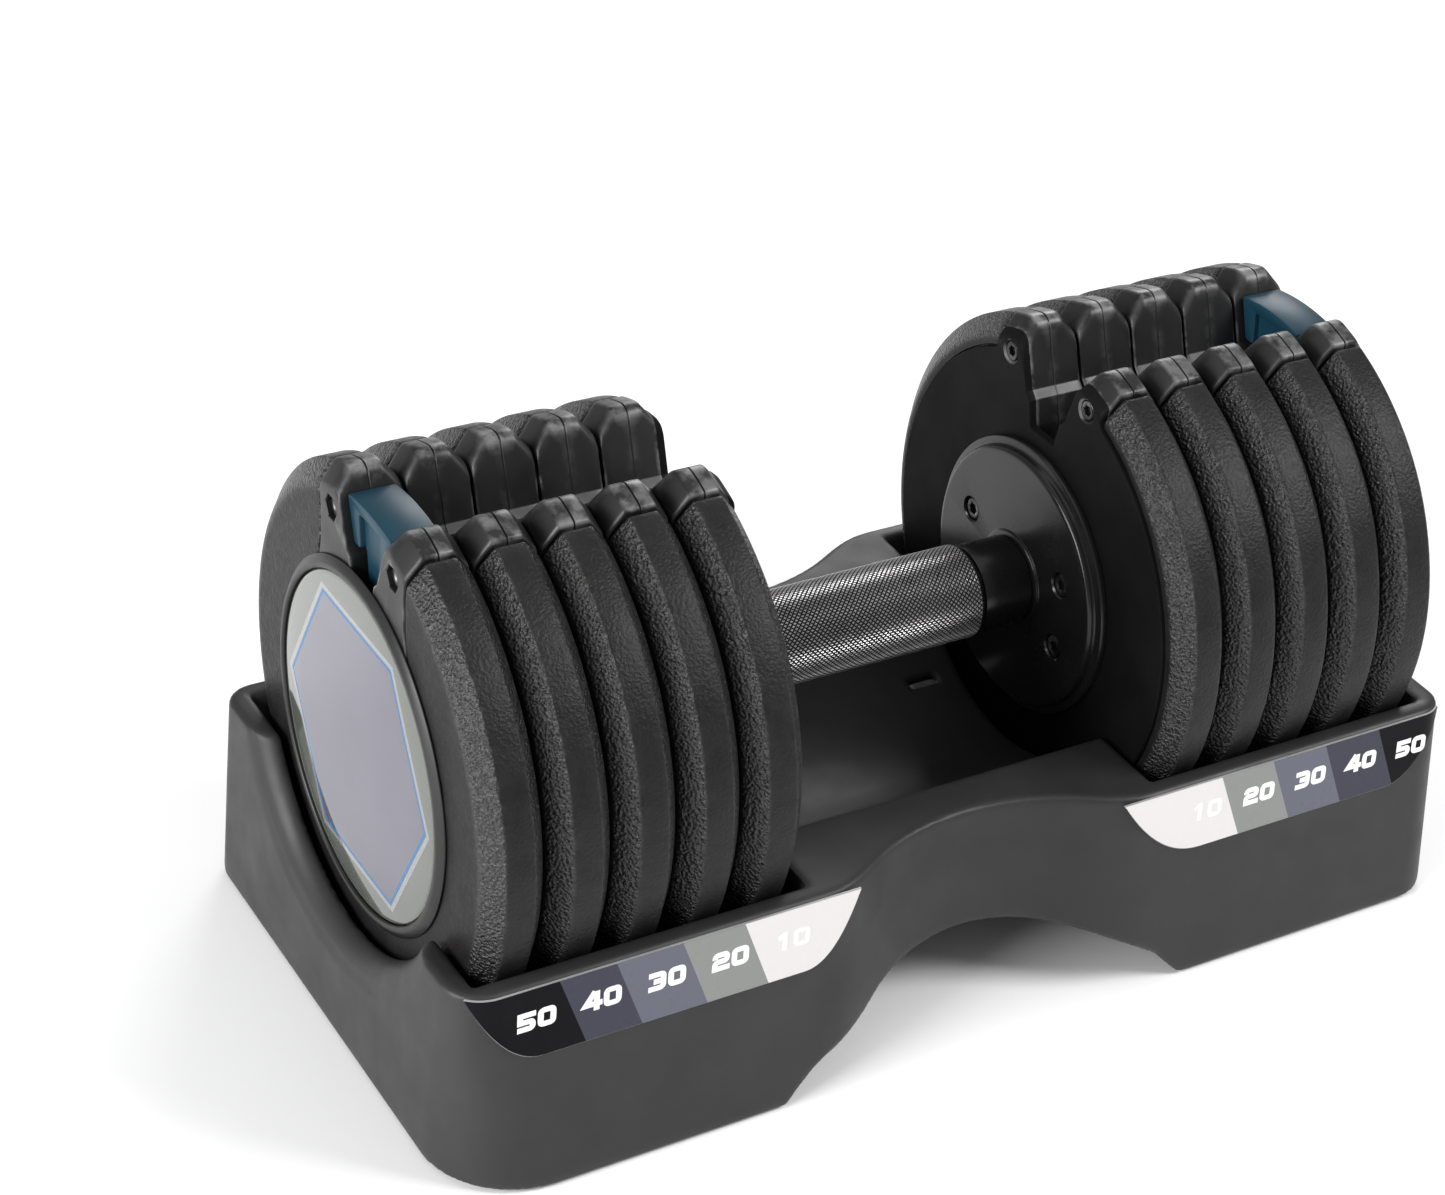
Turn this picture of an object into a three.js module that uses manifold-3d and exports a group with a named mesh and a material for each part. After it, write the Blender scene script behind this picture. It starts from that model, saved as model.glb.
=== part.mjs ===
// An adjustable dumbbell resting in its storage tray, both ends set to the full weight.
// Millimetres, +Z up. The origin is on the floor under the middle of the tray; +X runs along the
// handle to the right end, and the labelled side of the tray faces -Y.

import * as THREE from 'three';
import { mergeVertices } from 'three/addons/utils/BufferGeometryUtils.js';
import Module from 'manifold-3d';

const wasm = await Module();
wasm.setup();

// ---- Driving dimensions ----------------------------------------------------------------------

const GAP = 0.35; // clearance between pieces that touch on the real object
const PAST = 1; // how far a cut runs past the face it opens
const ROUND = 40; // sides of a full-size circle
const SLIM = 24; // sides of the tube and what is on it
const SMALL = 8; // sides of a screw

// Dumbbell. Its axis runs along X at this height.
const AXIS_Z = 113;
const PLATES = 5; // at each end
const FIRST_X = 84.5; // middle of the innermost plate
const PITCH = 23.3; // from one plate to the next
const PLATE_T = 22;
const CREST_R = 96; // rim of a plate
const CREST_HALF = 5.2; // half the width of the flat crest
const FACE_R = 88.5; // where the rim's chamfer meets the face
const HUB_R = 60.5; // round middle of a plate's insert
const COVER_R = 84.4; // smooth cover on the innermost plate
const COVER_T = 1.3; // how far that cover stands out of the iron
const COVER_DEPTH = 2; // how far it is let into the iron
const EARS = [[36, 46], [32.2, 62], [32, 75], [35.5, 100]]; // half outline, [y, z], upwards
const NOTCH = [[6.2, 57.5], [7.5, 69], [12, 69], [21.7, 98]];
const CHANNEL_HALF = 6.2; // half-width of the slot below the notch
const WINDOW = { y: 7.8, z: 7.9 }; // half-sizes of the lock bar's window in a plate
const BADGE = { r: 60, rimT: 1.2, t: 1.9, ringR: [60.4, 65], ringT: 2.2 };

// Handle
const TUBE_R = 14.5;
const BORE_R = 11.8;
const GRIP_R = 17.2;
const GRIP_HALF = 44.5;
const GRIP_EDGE = 1.2;
const COLLAR_R = 16.3;
const FLANGE_R = 52.2;
const FLANGE_STEP_R = 49;
const FLANGE_EDGE = 1.6;
const BOSS_R = 18.1;
const FLANGE_FACE_X = 66;
const BOSS_FACE_X = 64.8;
const FLANGE_STEP_X = 69.3;

// Fasteners. A screw's head lies sunk below the face round it.
const FLANGE_SCREW = {
  y: 29.2, z: 13, headR: 4, headT: 2.2, shankR: 2.2, length: 15, sunk: 0.7, bore: 4.5, boreDepth: 3.2 };
const EAR_SCREW = {
  y: 24, z: 80, headR: 3.6, headT: 2.2, shankR: 1.9, length: 19, sunk: 0.6, bore: 4, boreDepth: 3.1 };
const SHANK_GAP = 0.4;
const SOCKET = 0.7; // depth of a screw's hexagon socket, of its head's thickness
const EAR_NUT = { y: 23.6, z: 78, across: 7.2, t: 2.9, sunk: 1.2, threadR: 1.7, pocket: 8, pocketDepth: 4.5 };

// Selector and its lock bar
const SELECTOR_W = 16.5; // along X
const BAR_HALF_W = 7;
const BAR_LOW = 0.6; // the two bars pass each other above and below this
const BAR_HIGH = 7.1;
const BAR_INNER_X = 45;
const BAR_OUTER_X = 183.5;
const STEM = { x: 3, y: 4.6, top: 59.5 }; // half-sizes, and the height it reaches
const GUIDE = { inner: 50, y: 7.4, z: 7.5, sides: 16 };
const YOKE = {
  topR: 88, foot: 71, legOuter: 11.7, lean: 1 / 3, legInner: 6.8, headInner: 7.8, headZ: 82.5, headR: 83.6 };
const TONGUE = [[4.9, 60], [6.2, 70.5], [7.2, 71.5], [8.4, 84.5]];
const TONGUE_INSET = 4.5; // of its faces from the yoke's

// Tray
const TRAY_BOTTOM = 1; // the rubber feet lift it this far
const TRAY_TOP = 79;
const TRAY_L = { floor: 200, top: 197 }; // half-lengths
const TRAY_W = { floor: 107.5, top: 97.5 }; // half-widths
const TRAY_CORNER = { floor: 34, top: 14 };
const WALL = 3.5;
const COLUMN_TOP = 70; // tubes over the feet
const WAIST = { y: 159.7, r: { floor: 74.4, top: 82.3 } }; // upright cones that cut the long sides
const CRADLE = { r: 96.4, x0: 70.3, x1: 191.2 };
const DECK_R = 69; // trough under the handle
const END_NOTCH_R = 70; // clears the badge
const ARCH = { half: 82, top: 32, heel: 22, crown: 50 }; // heel and crown shape its curve
const DECK_SLOT = { x0: 48, x1: 60, y: 32, half: 1.6, z0: 30, z1: COLUMN_TOP };
const FOOT = { x: 166, y: 74, r: 9, h: 2.6 };
const LABEL = { z0: 52.5, z1: 78.2, inner: 53.5, outer: 184, scoop: 30, sag: 0.4, lean: 18, t: 0.5 };

// ---- Materials -------------------------------------------------------------------------------

const material = (color, roughness, metalness = 0) => () => (
  new THREE.MeshStandardMaterial({ color, roughness, metalness }));
const iron = material(0x1d1c1c, 0.62, 0.3);
const nylon = material(0x171717, 0.45);
const blackMetal = material(0x0d0d0e, 0.3, 0.6);
const knurl = material(0x2b2b2c, 0.35, 0.9);
const steel = material(0x8c8c90, 0.3, 0.9);
const bluePlastic = material(0x2c5874, 0.4);
const trayPlastic = material(0x1b1b1c, 0.6);
const rubber = material(0x101010, 0.85);
const badgeFace = material(0x5c606b, 0.12);
const labelFilm = material(0x3a3d48, 0.4);

// ---- Solids ----------------------------------------------------------------------------------

function solid(geometry) {
  const bare = geometry.index ? geometry.toNonIndexed() : geometry.clone();
  bare.deleteAttribute('normal');
  bare.deleteAttribute('uv');
  const merged = mergeVertices(bare, 1e-4);
  const mesh = new wasm.Mesh({
    numProp: 3,
    vertProperties: new Float32Array(merged.attributes.position.array),
    triVerts: new Uint32Array(merged.index.array),
  });
  mesh.merge();
  return new wasm.Manifold(mesh);
}

function surface(body) {
  const mesh = body.getMesh();
  const geometry = new THREE.BufferGeometry();
  geometry.setAttribute('position', new THREE.BufferAttribute(mesh.vertProperties, 3));
  geometry.setIndex(new THREE.BufferAttribute(mesh.triVerts, 1));
  geometry.computeVertexNormals();
  return geometry;
}

const joined = (bodies) => bodies.reduce((all, body) => all.add(body));

// A ring or disc round the X axis, from a closed profile of [radius, x] points.
function turned(profile, sides = ROUND) {
  const points = [...profile, profile[0]].map(([r, x]) => new THREE.Vector2(r, x));
  return solid(new THREE.LatheGeometry(points, sides).rotateZ(-Math.PI / 2));
}

const rod = (r, x0, x1, sides = ROUND) => turned([[0, x0], [r, x0], [r, x1], [0, x1]], sides);

const sleeve = (r0, r1, x0, x1) => turned([[r0, x0], [r1, x0], [r1, x1], [r0, x1]], SLIM);

// An outline in the YZ plane, pushed along X.
const alongX = new THREE.Matrix4().makeBasis(
  new THREE.Vector3(0, 1, 0), new THREE.Vector3(0, 0, 1), new THREE.Vector3(1, 0, 0));

function slab(outline, x0, x1, curveSegments = 10) {
  const shape = Array.isArray(outline)
    ? new THREE.Shape(outline.map(([y, z]) => new THREE.Vector2(y, z)))
    : outline;
  const geometry = new THREE.ExtrudeGeometry(
    shape, { depth: x1 - x0, bevelEnabled: false, curveSegments });
  return solid(geometry.applyMatrix4(alongX).translate(x0, 0, 0));
}

function block([x0, x1], [y0, y1], [z0, z1]) {
  const geometry = new THREE.BoxGeometry(x1 - x0, y1 - y0, z1 - z0);
  return solid(geometry.translate((x0 + x1) / 2, (y0 + y1) / 2, (z0 + z1) / 2));
}

const hexagon = (acrossFlats) => Array.from({ length: 6 }, (_, k) => {
  const angle = (k * Math.PI) / 3;
  const r = acrossFlats / Math.sqrt(3);
  return [r * Math.cos(angle), r * Math.sin(angle)];
});

const mirrored = (half) => [...half, ...half.map(([y, z]) => [-y, z]).reverse()];

const bothSides = (place) => [place, { ...place, y: -place.y }];

const fourCorners = ({ y, z }) => [...bothSides({ y, z }), ...bothSides({ y, z: -z })];

// The left end is the right one turned half round, so its +Y side is the front of the model.
const depthName = (side, { y }) => ((y > 0) === (side === 'right') ? 'back' : 'front');

const at = (body, { y, z }) => body.translate([0, y, z]);

// ---- The model's tree ------------------------------------------------------------------------

const model = new THREE.Group();
const dumbbell = new THREE.Group();
dumbbell.position.z = AXIS_Z;
const ends = { right: new THREE.Group(), left: new THREE.Group() };
ends.left.rotation.z = Math.PI;
dumbbell.add(ends.right, ends.left);
model.add(dumbbell);

function put(parent, name, body, makeMaterial) {
  const mesh = new THREE.Mesh(surface(body), makeMaterial());
  mesh.name = name;
  parent.add(mesh);
}

// ---- Screws ----------------------------------------------------------------------------------
// Both are drawn for a face at the given x, with the screw driven towards +X.

function socketScrew({ headR, headT, shankR, length, sunk }, faceX) {
  const headX = faceX + sunk;
  const head = rod(headR, headX, headX + headT, SMALL);
  const shank = rod(shankR, headX, headX + length, SMALL);
  return head.add(shank).subtract(slab(hexagon(headR), headX - PAST, headX + headT * SOCKET));
}

function screwHole({ shankR, length, bore, boreDepth, sunk }, faceX) {
  const head = rod(bore, faceX - PAST, faceX + boreDepth, SMALL);
  return head.add(rod(shankR + SHANK_GAP, faceX, faceX + sunk + length + PAST, SMALL));
}

// ---- Plates ----------------------------------------------------------------------------------
// Each plate is a C of cast iron, open at the top, round a moulded insert. The insert's two ears
// finish the rim on both sides of the notch in which the selector slides. A plate is drawn
// round x = 0 with its inner face towards -X.

const half = PLATE_T / 2;

const envelope = (inner = -half) => turned([
  [0, inner], [FACE_R, inner], [CREST_R, -CREST_HALF], [CREST_R, CREST_HALF], [FACE_R, half], [0, half]]);

const earOutline = (grow) => mirrored(EARS.map(([y, z], i) => [y + grow, i === 0 ? z - grow : z]));

const insertSpace = (grow, x0, x1) => (
  rod(HUB_R + grow, x0, x1).add(slab(earOutline(grow), x0, x1)));

function ironPlate(k) {
  const ring = envelope().subtract(insertSpace(GAP, -half - PAST, half + PAST));
  if (k > 1) return ring;
  return ring.subtract(rod(COVER_R + GAP, -half - PAST, COVER_DEPTH - half));
}

function insert(k) {
  const inner = k === 1 ? -half - COVER_T : -half;
  let body = insertSpace(0, inner, half).intersect(envelope(inner));
  if (k === 1) body = body.add(rod(COVER_R, inner, COVER_DEPTH - half - GAP));
  const channelFrom = k === 1 ? COVER_DEPTH - half : inner - PAST;
  const cuts = [
    slab(mirrored(NOTCH), inner - PAST, half + PAST),
    block([channelFrom, half + PAST], [-CHANNEL_HALF, CHANNEL_HALF], [0, NOTCH[0][1] + PAST]),
    block([inner - PAST, half + PAST], [-WINDOW.y, WINDOW.y], [-WINDOW.z, WINDOW.z]),
  ];
  if (k === 1) {
    cuts.push(...bothSides(EAR_SCREW).map((place) => at(screwHole(EAR_SCREW, inner), place)));
    const thread = rod(FLANGE_SCREW.shankR + SHANK_GAP, inner - PAST, 0, SMALL);
    cuts.push(...fourCorners(FLANGE_SCREW).map((place) => at(thread, place)));
  }
  if (k === PLATES) {
    const pocket = slab(hexagon(EAR_NUT.pocket), half - EAR_NUT.pocketDepth, half + PAST);
    cuts.push(...bothSides(EAR_NUT).map((place) => at(pocket, place)));
  }
  return body.subtract(joined(cuts));
}

for (const [side, end] of Object.entries(ends)) {
  for (let k = 1; k <= PLATES; k += 1) {
    const x = FIRST_X + (k - 1) * PITCH;
    put(end, `plate_${k}_iron_${side}`, ironPlate(k).translate([x, 0, 0]), iron);
    put(end, `plate_${k}_insert_${side}`, insert(k).translate([x, 0, 0]), nylon);
  }
}

// ---- Screws, nuts and badges -----------------------------------------------------------------

const lastX = FIRST_X + (PLATES - 1) * PITCH;
const outerFaceX = lastX + half;
const coverFaceX = FIRST_X - half - COVER_T;

for (const [side, end] of Object.entries(ends)) {
  for (const place of fourCorners(FLANGE_SCREW)) {
    const name = `flange_screw_${depthName(side, place)}_${place.z > 0 ? 'top' : 'bottom'}_${side}`;
    put(end, name, at(socketScrew(FLANGE_SCREW, FLANGE_FACE_X), place), blackMetal);
  }
  for (const place of bothSides(EAR_SCREW)) {
    const screw = socketScrew(EAR_SCREW, coverFaceX);
    put(end, `ear_screw_${depthName(side, place)}_${side}`, at(screw, place), blackMetal);
  }
  for (const place of bothSides(EAR_NUT)) {
    const nutX = outerFaceX - EAR_NUT.sunk;
    const nut = slab(hexagon(EAR_NUT.across), nutX - EAR_NUT.t, nutX)
      .subtract(rod(EAR_NUT.threadR, nutX - EAR_NUT.t - PAST, nutX + PAST, SMALL));
    put(end, `ear_nut_${depthName(side, place)}_${side}`, at(nut, place), steel);
  }
  const x = outerFaceX + GAP;
  const [r0, r1] = BADGE.ringR;
  const ring = turned([[r0, x], [r1, x], [r1, x + BADGE.ringT], [r0, x + BADGE.ringT]]);
  put(end, `badge_ring_${side}`, ring, nylon);
  const lens = turned([[0, x], [BADGE.r, x], [BADGE.r, x + BADGE.rimT], [0, x + BADGE.t]]);
  put(end, `badge_${side}`, lens, badgeFace);
}

// ---- Handle ----------------------------------------------------------------------------------

put(dumbbell, 'handle_tube', sleeve(BORE_R, TUBE_R, GAP - coverFaceX, coverFaceX - GAP), steel);

const gripBore = TUBE_R + GAP;
put(dumbbell, 'grip_sleeve', turned([
  [gripBore, -GRIP_HALF], [GRIP_R - GRIP_EDGE, -GRIP_HALF], [GRIP_R, GRIP_EDGE - GRIP_HALF],
  [GRIP_R, GRIP_HALF - GRIP_EDGE], [GRIP_R - GRIP_EDGE, GRIP_HALF], [gripBore, GRIP_HALF]], SLIM), knurl);

const flangeBaseX = coverFaceX - GAP;
for (const [side, end] of Object.entries(ends)) {
  put(end, `collar_${side}`, sleeve(gripBore, COLLAR_R, GRIP_HALF + GAP, BOSS_FACE_X - GAP), blackMetal);

  const flange = turned([
    [gripBore, BOSS_FACE_X], [BOSS_R, BOSS_FACE_X], [BOSS_R, FLANGE_FACE_X],
    [FLANGE_STEP_R - FLANGE_EDGE, FLANGE_FACE_X], [FLANGE_STEP_R, FLANGE_FACE_X + FLANGE_EDGE],
    [FLANGE_STEP_R, FLANGE_STEP_X], [FLANGE_R, FLANGE_STEP_X],
    [FLANGE_R, flangeBaseX], [gripBore, flangeBaseX]]);
  const holes = fourCorners(FLANGE_SCREW).map((place) => at(screwHole(FLANGE_SCREW, FLANGE_FACE_X), place));
  put(end, `flange_${side}`, flange.subtract(joined(holes)), blackMetal);

  const guide = rod(BORE_R - GAP, GUIDE.inner, flangeBaseX, GUIDE.sides).subtract(block(
    [GUIDE.inner - PAST, flangeBaseX + PAST], [-GUIDE.y, GUIDE.y], [-GUIDE.z, GUIDE.z]));
  put(end, `bar_guide_${side}`, guide, nylon);
}

// ---- Selectors -------------------------------------------------------------------------------
// A blue yoke slides in the notches; its steel lock bar runs through the plates' windows and
// carries every plate as far as the yoke. The left bar passes above the right one in the tube.

function yoke(x) {
  const sideAt = (z) => YOKE.legOuter + (z - YOKE.foot) * YOKE.lean; // clear of the slanting walls
  const shoulder = Math.acos(sideAt(YOKE.topR) / YOKE.topR);
  const crown = Math.acos(YOKE.headInner / YOKE.headR);
  const frame = new THREE.Shape();
  frame.moveTo(sideAt(YOKE.foot), YOKE.foot);
  frame.absarc(0, 0, YOKE.topR, shoulder, Math.PI - shoulder, false);
  frame.lineTo(-sideAt(YOKE.foot), YOKE.foot);
  frame.lineTo(-YOKE.legInner, YOKE.foot);
  frame.lineTo(-YOKE.headInner, YOKE.headZ);
  frame.absarc(0, 0, YOKE.headR, Math.PI - crown, crown, true);
  frame.lineTo(YOKE.headInner, YOKE.headZ);
  frame.lineTo(YOKE.legInner, YOKE.foot);
  const w = SELECTOR_W / 2;
  const tongue = slab(mirrored(TONGUE), x - w + TONGUE_INSET, x + w - TONGUE_INSET);
  return slab(frame, x - w, x + w, 8).add(tongue);
}

function lockBar(side, x) {
  const [low, high] = side === 'left' ? [BAR_LOW, BAR_HIGH] : [-BAR_HIGH, -BAR_LOW];
  const bar = block([BAR_INNER_X, BAR_OUTER_X], [-BAR_HALF_W, BAR_HALF_W], [low, high]);
  return bar.add(block([x - STEM.x, x + STEM.x], [-STEM.y, STEM.y], [(low + high) / 2, STEM.top]));
}

for (const [side, end] of Object.entries(ends)) {
  put(end, `selector_yoke_${side}`, yoke(lastX), bluePlastic);
  put(end, `lock_bar_${side}`, lockBar(side, lastX), steel);
}

// ---- Tray ------------------------------------------------------------------------------------

const between = (size, z) => size.floor + ((size.top - size.floor) * z) / TRAY_TOP;

// A rounded rectangle that narrows, and whose corners tighten, from the floor to the rim.
function trayBlock(inset, z0, z1) {
  const l = TRAY_L.floor - inset;
  const w = TRAY_W.floor - inset;
  const r = TRAY_CORNER.floor - inset;
  const plan = new THREE.Shape();
  plan.moveTo(r - l, -w);
  plan.absarc(l - r, r - w, r, -Math.PI / 2, 0, false);
  plan.absarc(l - r, w - r, r, 0, Math.PI / 2, false);
  plan.absarc(r - l, w - r, r, Math.PI / 2, Math.PI, false);
  plan.absarc(r - l, r - w, r, Math.PI, 1.5 * Math.PI, false);
  const geometry = new THREE.ExtrudeGeometry(
    plan, { depth: z1 - z0, bevelEnabled: false, curveSegments: 6 });
  geometry.translate(0, 0, z0);
  const position = geometry.attributes.position;
  for (let i = 0; i < position.count; i += 1) {
    const z = position.getZ(i);
    const radius = between(TRAY_CORNER, z) - inset;
    const move = (value, edge, edgeThere) => {
      const centre = edge - r;
      const beyond = Math.abs(value) - centre;
      return Math.sign(value) * (edgeThere - radius + (beyond * radius) / r);
    };
    position.setX(i, move(position.getX(i), l, between(TRAY_L, z) - inset));
    position.setY(i, move(position.getY(i), w, between(TRAY_W, z) - inset));
  }
  return solid(geometry);
}

function waistCuts(inset) {
  const cone = (z0, z1) => {
    const radiusAt = (z) => between(WAIST.r, z) + inset;
    const profile = [[0, z0], [radiusAt(z0), z0], [radiusAt(z1), z1], [0, z1]];
    const points = profile.map(([r, z]) => new THREE.Vector2(r, z));
    return solid(new THREE.LatheGeometry(points, ROUND).rotateX(Math.PI / 2));
  };
  return [-1, 1].map((s) => cone(-PAST, TRAY_TOP + PAST).translate([0, s * WAIST.y, 0]));
}

const trayShape = (inset, z0, z1) => trayBlock(inset, z0, z1).subtract(joined(waistCuts(inset)));

// An outline in the XZ plane, pushed right through the tray along Y.
function throughY(outline) {
  const depth = 2 * (TRAY_W.floor + PAST);
  const turn = new THREE.Matrix4().makeBasis(
    new THREE.Vector3(1, 0, 0), new THREE.Vector3(0, 0, 1), new THREE.Vector3(0, -1, 0));
  const geometry = new THREE.ExtrudeGeometry(outline, { depth, bevelEnabled: false, curveSegments: 10 });
  return solid(geometry.applyMatrix4(turn).translate(0, depth / 2, 0));
}

function trayArch() {
  const { half: foot, top, heel, crown } = ARCH;
  const outline = new THREE.Shape();
  outline.moveTo(-foot, 0);
  outline.bezierCurveTo(heel - foot, heel, -crown, top, 0, top);
  outline.bezierCurveTo(crown, top, foot - heel, heel, foot, 0);
  return throughY(outline);
}

const axisHigh = (body) => body.translate([0, 0, AXIS_Z]);

const eachCorner = (make) => [-1, 1].flatMap((sx) => [-1, 1].map((sy) => make(sx, sy)));

// A cylinder that stands upright.
const post = (r, x, y, z0, z1, sides = 16) => (
  rod(r, z0, z1, sides).rotate([0, -90, 0]).translate([x, y, 0]));

const span = (sign, a, b) => [sign * a, sign * b].sort((m, n) => m - n);

function tray() {
  const beyond = TRAY_L.floor + PAST;
  const cradles = [-1, 1].map((s) => rod(CRADLE.r, ...span(s, CRADLE.x0, CRADLE.x1)));
  const shells = [-1, 1].map((s) => rod(CRADLE.r + WALL, ...span(s, CRADLE.x0 - WALL, beyond)));
  const deck = rod(DECK_R, -CRADLE.x0 - PAST, CRADLE.x0 + PAST);
  const deckShell = rod(DECK_R + WALL, -CRADLE.x0, CRADLE.x0);
  const kept = axisHigh(joined([...shells, deckShell]));
  const feet = (r, top) => eachCorner((sx, sy) => post(r, sx * FOOT.x, sy * FOOT.y, 0, top));
  const hollow = trayShape(WALL, 0, TRAY_TOP - WALL)
    .subtract(kept).subtract(joined(feet(FOOT.r + WALL, COLUMN_TOP)));
  const slots = eachCorner((sx, sy) => block(
    span(sx, DECK_SLOT.x0, DECK_SLOT.x1),
    span(sy, DECK_SLOT.y - DECK_SLOT.half, DECK_SLOT.y + DECK_SLOT.half),
    [DECK_SLOT.z0, DECK_SLOT.z1]));
  const cuts = [
    axisHigh(joined([...cradles, deck, rod(END_NOTCH_R, -beyond, beyond)])),
    hollow,
    trayArch().subtract(kept),
    ...feet(FOOT.r + GAP, FOOT.h + GAP),
    ...slots,
  ];
  return trayShape(0, TRAY_BOTTOM, TRAY_TOP).subtract(joined(cuts));
}

put(model, 'tray', tray(), trayPlastic);

for (const [side, sx] of [['right', 1], ['left', -1]]) {
  for (const [depth, sy] of [['back', 1], ['front', -1]]) {
    const foot = post(FOOT.r, sx * FOOT.x, sy * FOOT.y, 0, FOOT.h);
    put(model, `foot_${depth}_${side}`, foot, rubber);
  }
}

// The weight labels lie on the sloping front wall, with scooped ends.
function label() {
  const slope = Math.atan2(TRAY_W.floor - TRAY_W.top, TRAY_TOP);
  const v0 = LABEL.z0 / Math.cos(slope);
  const v1 = LABEL.z1 / Math.cos(slope);
  const outline = new THREE.Shape();
  outline.moveTo(LABEL.inner + LABEL.scoop, v0);
  outline.lineTo(LABEL.outer - LABEL.lean, v0);
  outline.quadraticCurveTo(LABEL.outer - LABEL.lean / 2, v0, LABEL.outer, v1);
  outline.lineTo(LABEL.inner, v1);
  outline.quadraticCurveTo(LABEL.inner + LABEL.scoop * LABEL.sag, v0, LABEL.inner + LABEL.scoop, v0);
  const onWall = new THREE.Matrix4().makeBasis(
    new THREE.Vector3(1, 0, 0),
    new THREE.Vector3(0, Math.sin(slope), Math.cos(slope)),
    new THREE.Vector3(0, -Math.cos(slope), Math.sin(slope)));
  const geometry = new THREE.ExtrudeGeometry(
    outline, { depth: LABEL.t, bevelEnabled: false, curveSegments: 5 });
  geometry.translate(0, 0, GAP).applyMatrix4(onWall).translate(0, -TRAY_W.floor, 0);
  return solid(geometry);
}

put(model, 'label_right', label(), labelFilm);
put(model, 'label_left', label().mirror([1, 0, 0]), labelFilm);

export default model;
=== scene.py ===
"""The looks of an adjustable dumbbell in its storage tray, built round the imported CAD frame.

Shapes are worked out in millimetres in the dumbbell's own frame: x along the handle, y to the back
and z up from the handle's axis. The tray and its labels use z up from the floor.
"""
import math

import bmesh
import bpy
import numpy as np
import openvdb
from mathutils import Matrix, Vector


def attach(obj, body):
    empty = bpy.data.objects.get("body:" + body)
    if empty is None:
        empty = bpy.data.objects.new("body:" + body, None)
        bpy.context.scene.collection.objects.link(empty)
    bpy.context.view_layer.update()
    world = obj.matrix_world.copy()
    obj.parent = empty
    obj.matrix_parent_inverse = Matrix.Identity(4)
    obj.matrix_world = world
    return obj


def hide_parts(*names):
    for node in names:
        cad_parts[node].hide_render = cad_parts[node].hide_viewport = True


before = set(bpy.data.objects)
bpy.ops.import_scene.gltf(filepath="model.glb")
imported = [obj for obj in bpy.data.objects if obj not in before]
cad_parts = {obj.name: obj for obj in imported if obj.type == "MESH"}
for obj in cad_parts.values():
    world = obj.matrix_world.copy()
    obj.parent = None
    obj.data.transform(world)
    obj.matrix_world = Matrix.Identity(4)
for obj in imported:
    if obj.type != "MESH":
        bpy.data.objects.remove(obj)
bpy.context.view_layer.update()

MM = 0.001
AXIS_Z = 113.0
# Each end, and whether its pieces are the right end's turned half round.
SIDES = {"right": False, "left": True}
SHARP_ANGLE = 32.0

# ---- Sizes, as in the CAD ---------------------------------------------------------------------

FIRST_X, PITCH, HALF_T, PLATES = 84.5, 23.3, 11.0, 5
LAST_X = FIRST_X + PITCH * (PLATES - 1)
OUTER_FACE = LAST_X + HALF_T
COVER_FACE = FIRST_X - HALF_T - 1.3
EAR_LINE = np.array([(36, 46), (32.2, 62), (32, 75), (35.5, 100)], float)
NOTCH_LINE = np.array([(12, 69.6), (21.7, 98)], float)
HUB_R, COVER_R = 60.5, 84.4
FLANGE_SCREWS = [(29.2, 13), (-29.2, 13), (29.2, -13), (-29.2, -13)]
EAR_SCREWS = [(24, 80), (-24, 80)]
EAR_NUTS = [(23.6, 78), (-23.6, 78)]
NUT_POCKET_R = 8 / math.sqrt(3)
COVER_POCKET = 3.1
FLANGE_FACE = 66.0
GRIP_BORE = 14.85
FOOT_X, FOOT_Y = 166, 74


# ---- Mesh building ----------------------------------------------------------------------------

def linked(name, data):
    obj = bpy.data.objects.new(name, data)
    bpy.context.scene.collection.objects.link(obj)
    return obj


class Shape:
    """Closed shells gathered into one mesh."""

    def __init__(self):
        self.verts, self.faces, self.flat, self.slots = [], [], [], []

    def add(self, verts, faces, flat=False, slot=0):
        base = len(self.verts)
        self.verts.extend(np.asarray(verts, float).tolist())
        self.faces.extend([base + i for i in face] for face in faces)
        self.flat.extend([flat] * len(faces))
        self.slots.extend([slot] * len(faces))
        return self

    def loft(self, loops, caps=True, slot=0):
        """A skin over closed loops that all have the same number of points, with flat ends."""
        count = len(loops[0])
        verts = np.concatenate(loops)
        ring = np.arange(count)
        step = np.roll(ring, -1)
        quads = []
        for i in range(len(loops) - 1):
            a, b = i * count, (i + 1) * count
            quads.append(np.stack([a + ring, a + step, b + step, b + ring], 1))
        self.add(verts, np.concatenate(quads).tolist(), slot=slot)
        if caps:
            base = len(self.verts) - len(verts)
            ends = [list(range(base, base + count))[::-1],
                    list(range(base + (len(loops) - 1) * count, base + len(loops) * count))]
            self.faces.extend(ends)
            self.flat.extend([True, True])
            self.slots.extend([slot, slot])
        return self

    def build(self, name, materials, sharp=SHARP_ANGLE, lift=AXIS_Z, turned=False):
        verts = np.array(self.verts)
        if turned:
            verts = verts * (-1, -1, 1)
        verts = (verts + (0, 0, lift)) * MM
        mesh = bpy.data.meshes.new(name)
        mesh.from_pydata(verts.tolist(), [], self.faces)
        work = bmesh.new()
        work.from_mesh(mesh)
        for face, flat, slot in zip(work.faces, self.flat, self.slots):
            face.smooth, face.material_index = not flat, slot
        caps = [face for face in work.faces if len(face.verts) > 4]
        bmesh.ops.triangulate(work, faces=caps, ngon_method="EAR_CLIP")
        bmesh.ops.recalc_face_normals(work, faces=work.faces)
        work.to_mesh(mesh)
        work.free()
        for material in materials if isinstance(materials, (list, tuple)) else [materials]:
            mesh.materials.append(material)
        mesh.set_sharp_from_angle(angle=math.radians(sharp))
        return linked(name, mesh)


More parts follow.
